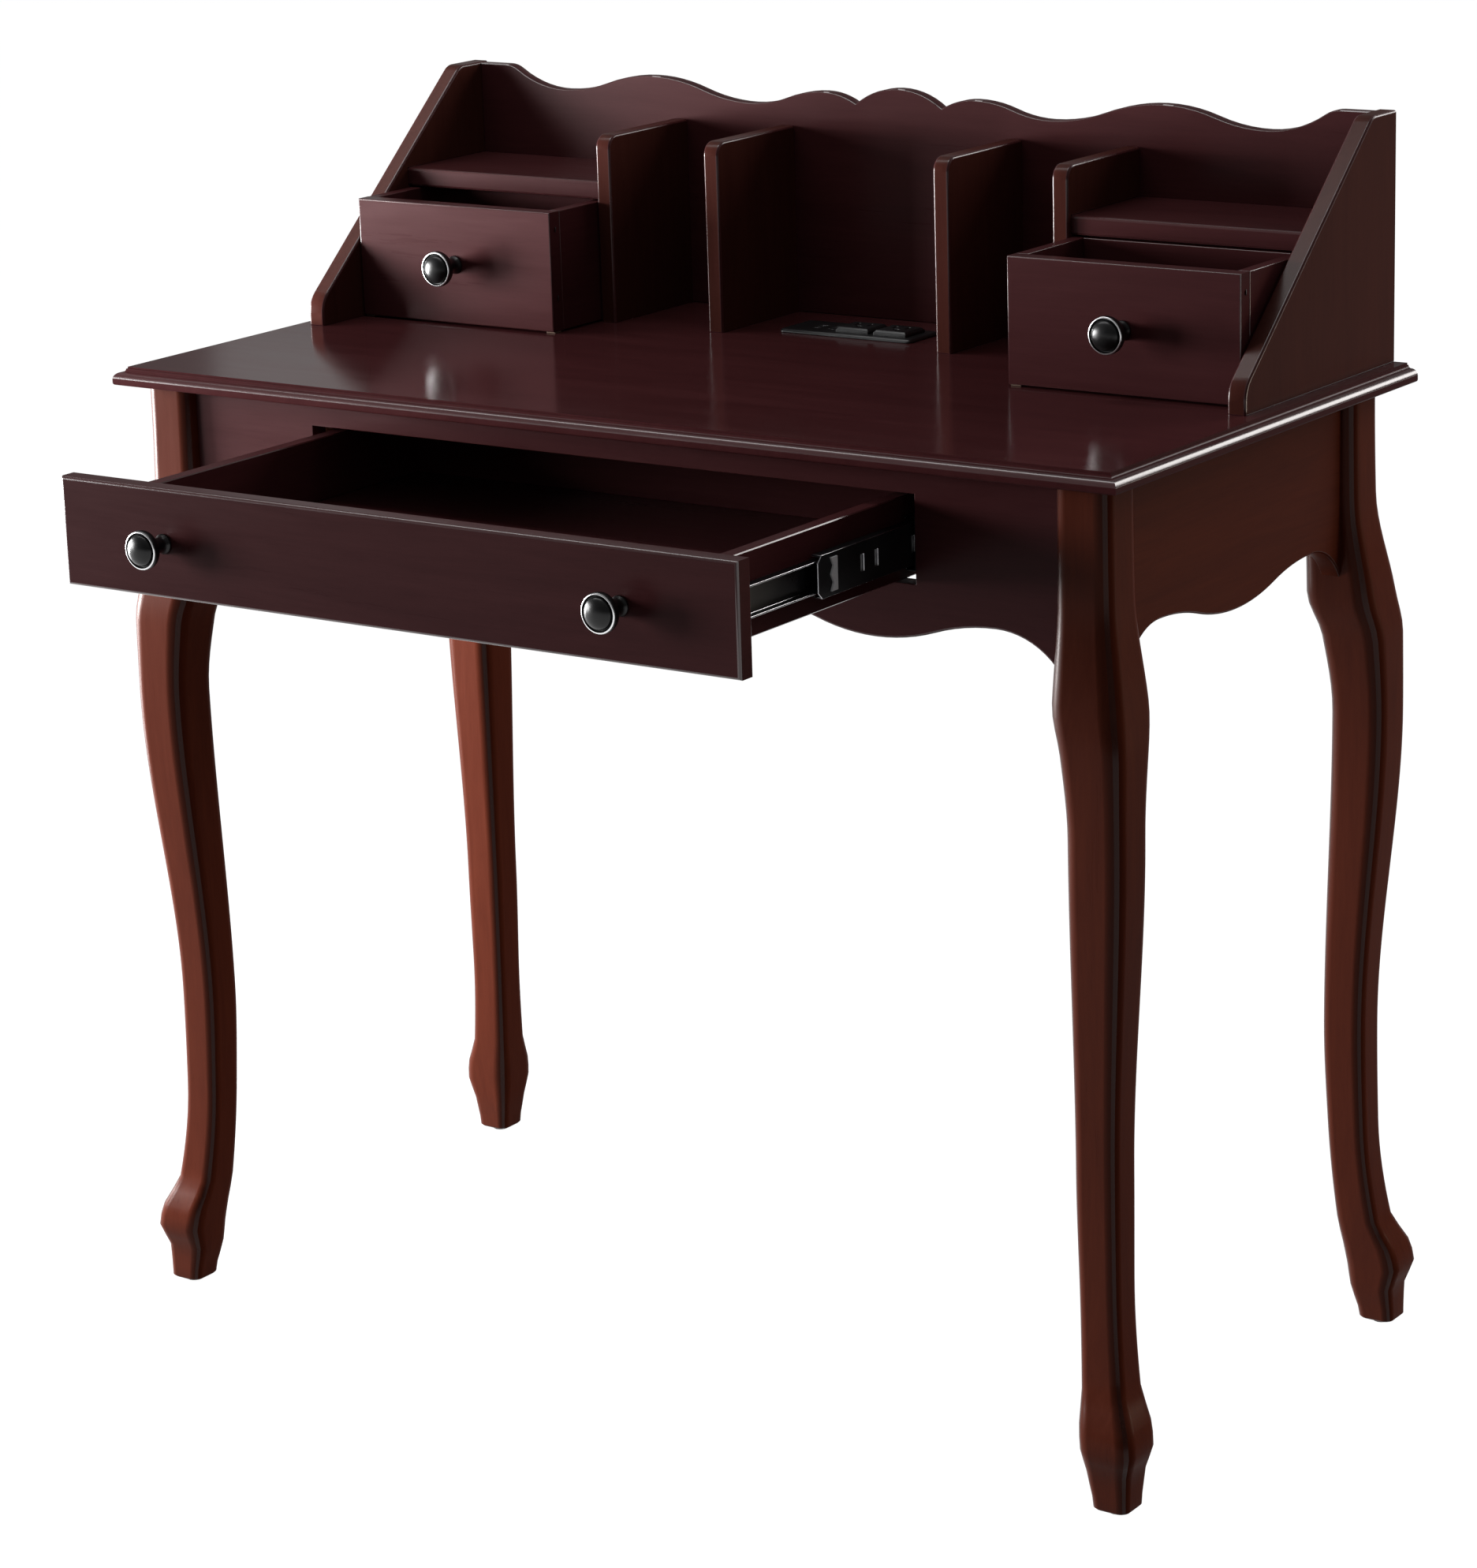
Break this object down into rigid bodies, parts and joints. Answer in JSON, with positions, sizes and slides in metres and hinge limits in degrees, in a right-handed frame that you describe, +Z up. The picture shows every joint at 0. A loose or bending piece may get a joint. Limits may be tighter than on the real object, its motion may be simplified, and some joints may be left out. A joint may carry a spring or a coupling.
{
  "type": "writing desk with hutch",
  "caption": "Lady's writing desk: moulded top on cabriole legs, wide drawer on ball-bearing slides, scalloped hutch with small drawers, dividers, shelves and a power dock.",
  "frame": {"origin": "on the floor, under the middle of the desk's box with its drawers as far open as they stand at rest", "axes": "+X to the sitter's right, +Y from the sitter towards the hutch's back, +Z up"},
  "size_m": [0.935, 0.7154, 0.965],
  "materials": {
    "mahogany": "dark reddish brown stain, satin lacquer",
    "bare_wood": "unfinished",
    "black_steel": "black electrocoat",
    "zinc_steel": "zinc plated",
    "knob_metal": "glossy black nickel",
    "white_plastic": "moulded",
    "black_plastic": "moulded, satin",
    "port_metal": "stamped shell",
    "glide_plastic": "moulded brown",
    "felt": "felt"
  },
  "bodies": {
    "desk": {"corner_blocks": "bare_wood", "divider_inner_left": "mahogany", "divider_inner_right": "mahogany", "divider_outer_left": "mahogany", "divider_outer_right": "mahogany", "dock_housing": "black_plastic", "dock_ports": "port_metal", "dock_sockets": "black_plastic", "foot_glides": "glide_plastic", "front_apron": "mahogany", "hutch_back": "mahogany", "hutch_side_left": "mahogany", "hutch_side_right": "mahogany", "leg_front_left": "mahogany", "leg_front_right": "mahogany", "leg_rear_left": "mahogany", "leg_rear_right": "mahogany", "rear_apron": "mahogany", "shelf_left": "mahogany", "shelf_right": "mahogany", "side_apron_left": "mahogany", "side_apron_right": "mahogany", "slide_outer_left": "black_steel", "slide_outer_right": "black_steel", "slide_rail_left": "bare_wood", "slide_rail_right": "bare_wood", "tabletop": "mahogany"},
    "drawer": {"drawer_front": "mahogany", "drawer_side_left": "mahogany", "drawer_side_right": "mahogany", "drawer_back": "mahogany", "drawer_bottom": "mahogany", "drawer_knobs": "knob_metal", "slide_inner_left": "black_steel", "slide_inner_right": "black_steel"},
    "slide_middle_left": {"slide_middle_left": "black_steel", "slide_stop_left": "white_plastic"},
    "cage_outer_left": {"cage_outer_left": "zinc_steel"},
    "cage_inner_left": {"cage_inner_left": "zinc_steel"},
    "small_drawer_left": {"small_drawer_left_back": "mahogany", "small_drawer_left_bottom": "mahogany", "small_drawer_left_front": "mahogany", "small_drawer_left_knob": "knob_metal", "small_drawer_left_pads": "felt", "small_drawer_left_side_left": "mahogany", "small_drawer_left_side_right": "mahogany"},
    "slide_middle_right": {"slide_middle_right": "black_steel", "slide_stop_right": "white_plastic"},
    "cage_outer_right": {"cage_outer_right": "zinc_steel"},
    "cage_inner_right": {"cage_inner_right": "zinc_steel"},
    "small_drawer_right": {"small_drawer_right_back": "mahogany", "small_drawer_right_bottom": "mahogany", "small_drawer_right_front": "mahogany", "small_drawer_right_knob": "knob_metal", "small_drawer_right_pads": "felt", "small_drawer_right_side_left": "mahogany", "small_drawer_right_side_right": "mahogany"}
  },
  "joints": [
    {"name": "drawer_slide", "type": "slide", "parent": "desk", "child": "drawer", "axis": [0, -1, 0], "range_m": [-0.2417, 0.108]},
    {"name": "slide_middle_left_slide", "type": "slide", "parent": "desk", "child": "slide_middle_left", "axis": [0, -1, 0], "range_m": [-0.12135, 0.0545]},
    {"name": "cage_outer_left_slide", "type": "slide", "parent": "desk", "child": "cage_outer_left", "axis": [0, -1, 0], "range_m": [-0.06092, 0.0275]},
    {"name": "cage_inner_left_slide", "type": "slide", "parent": "desk", "child": "cage_inner_left", "axis": [0, -1, 0], "range_m": [-0.18177, 0.0815]},
    {"name": "slide_middle_right_slide", "type": "slide", "parent": "desk", "child": "slide_middle_right", "axis": [0, -1, 0], "range_m": [-0.12135, 0.0545]},
    {"name": "cage_outer_right_slide", "type": "slide", "parent": "desk", "child": "cage_outer_right", "axis": [0, -1, 0], "range_m": [-0.06092, 0.0275]},
    {"name": "cage_inner_right_slide", "type": "slide", "parent": "desk", "child": "cage_inner_right", "axis": [0, -1, 0], "range_m": [-0.18177, 0.0815]},
    {"name": "small_drawer_left_slide", "type": "slide", "parent": "desk", "child": "small_drawer_left", "axis": [0, -1, 0], "range_m": [-0.064, 0.03]},
    {"name": "small_drawer_right_slide", "type": "slide", "parent": "desk", "child": "small_drawer_right", "axis": [0, -1, 0], "range_m": [-0.092, 0.002]}
  ],
  "couplings": [
    {"joint": "slide_middle_left_slide", "follows": "drawer_slide", "ratio": 0.5},
    {"joint": "cage_outer_left_slide", "follows": "drawer_slide", "ratio": 0.25},
    {"joint": "cage_inner_left_slide", "follows": "drawer_slide", "ratio": 0.75},
    {"joint": "slide_middle_right_slide", "follows": "drawer_slide", "ratio": 0.5},
    {"joint": "cage_outer_right_slide", "follows": "drawer_slide", "ratio": 0.25},
    {"joint": "cage_inner_right_slide", "follows": "drawer_slide", "ratio": 0.75}
  ]
}
